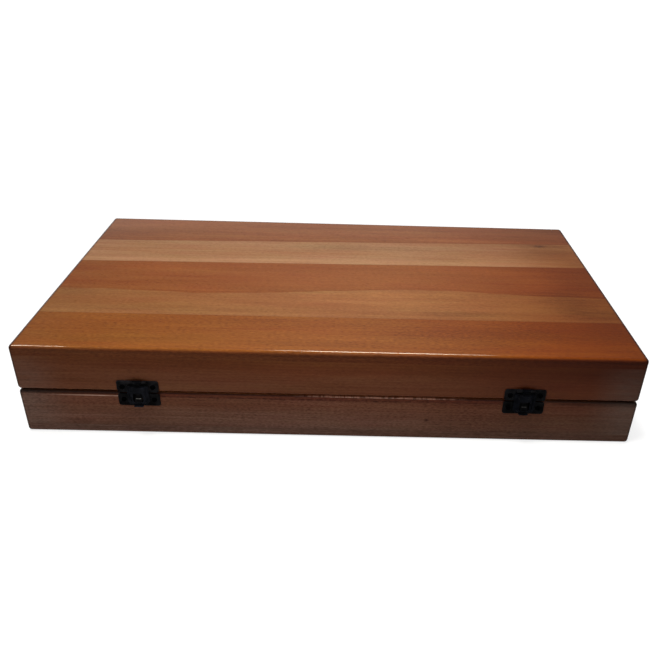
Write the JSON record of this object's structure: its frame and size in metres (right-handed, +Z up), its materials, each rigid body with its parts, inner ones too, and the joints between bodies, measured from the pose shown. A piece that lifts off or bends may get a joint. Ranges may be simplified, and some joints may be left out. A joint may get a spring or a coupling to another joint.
{
  "type": "backgammon board",
  "caption": "Folding backgammon board in lacquered staved beech, closed as a flat hinged case with hasp latches; opens flat to show inlaid points.",
  "frame": {"origin": "centre of the base tray's flat underside, which the closed board rests on", "axes": "+X along the length, +Y from the latches towards the hinges, +Z up out of the base tray"},
  "size_m": [0.48, 0.2666, 0.079],
  "materials": {
    "stave_rose": "satin lacquer over stained beech, dusty brown stave",
    "stave_pale": "satin lacquer over stained beech, lightest stave",
    "stave_red": "satin lacquer over stained beech, red-brown stave with a paler natural edge",
    "stave_amber": "satin lacquer over stained beech, orange-brown stave with fine flecks",
    "rail_beech": "satin lacquer over stained beech, long grain with short dark flecks",
    "play_beech": "satin lacquered beech panel",
    "inlay_dark": "satin lacquered dark-stained inlay",
    "inlay_light": "satin lacquered pale maple inlay",
    "latch_black": "blackened pressed steel, slightly worn edges",
    "latch_screw": "blackened steel round-head screw",
    "hinge_metal": "blackened steel butt hinge",
    "hinge_screw": "blackened steel countersunk screw"
  },
  "bodies": {
    "base": {"base_front_stave": "stave_amber", "base_middle_stave": "stave_pale", "base_inner_stave": "stave_rose", "base_rear_stave": "stave_red", "base_front_rail": "rail_beech", "base_rear_rail": "rail_beech", "base_left_rail": "rail_beech", "base_right_rail": "rail_beech", "base_play_panel": "play_beech", "base_dark_points": "inlay_dark", "base_light_points": "inlay_light", "hinge_left_base_leaf": "hinge_metal", "hinge_right_base_leaf": "hinge_metal", "hinge_left_pin": "hinge_metal", "hinge_right_pin": "hinge_metal", "hinge_screws_base": "hinge_screw", "latch_left_base_plate": "latch_black", "latch_right_base_plate": "latch_black", "latch_screws_base": "latch_screw"},
    "lid": {"lid_front_stave": "stave_amber", "lid_middle_stave": "stave_red", "lid_inner_stave": "stave_pale", "lid_rear_stave": "stave_rose", "lid_front_rail": "rail_beech", "lid_rear_rail": "rail_beech", "lid_left_rail": "rail_beech", "lid_right_rail": "rail_beech", "lid_play_panel": "play_beech", "lid_dark_points": "inlay_dark", "lid_light_points": "inlay_light", "hinge_left_lid_leaf": "hinge_metal", "hinge_right_lid_leaf": "hinge_metal", "hinge_screws_lid": "hinge_screw", "latch_left_lid_plate": "latch_black", "latch_right_lid_plate": "latch_black", "latch_left_pin": "latch_black", "latch_right_pin": "latch_black", "latch_screws_lid": "latch_screw"},
    "left_tongue": {"latch_left_tongue": "latch_black"},
    "right_tongue": {"latch_right_tongue": "latch_black"}
  },
  "joints": [
    {"name": "lid_hinge", "type": "hinge", "parent": "base", "child": "lid", "pos_m": [0, 0.1305, 0.0395], "axis": [-1, 0, 0], "range_deg": [0, 180]},
    {"name": "left_latch_pivot", "type": "hinge", "parent": "lid", "child": "left_tongue", "pos_m": [-0.1475, -0.13195, 0.0497], "axis": [-1, 0, 0], "range_deg": [0, 170]},
    {"name": "right_latch_pivot", "type": "hinge", "parent": "lid", "child": "right_tongue", "pos_m": [0.1503, -0.13195, 0.0497], "axis": [-1, 0, 0], "range_deg": [0, 170]}
  ]
}
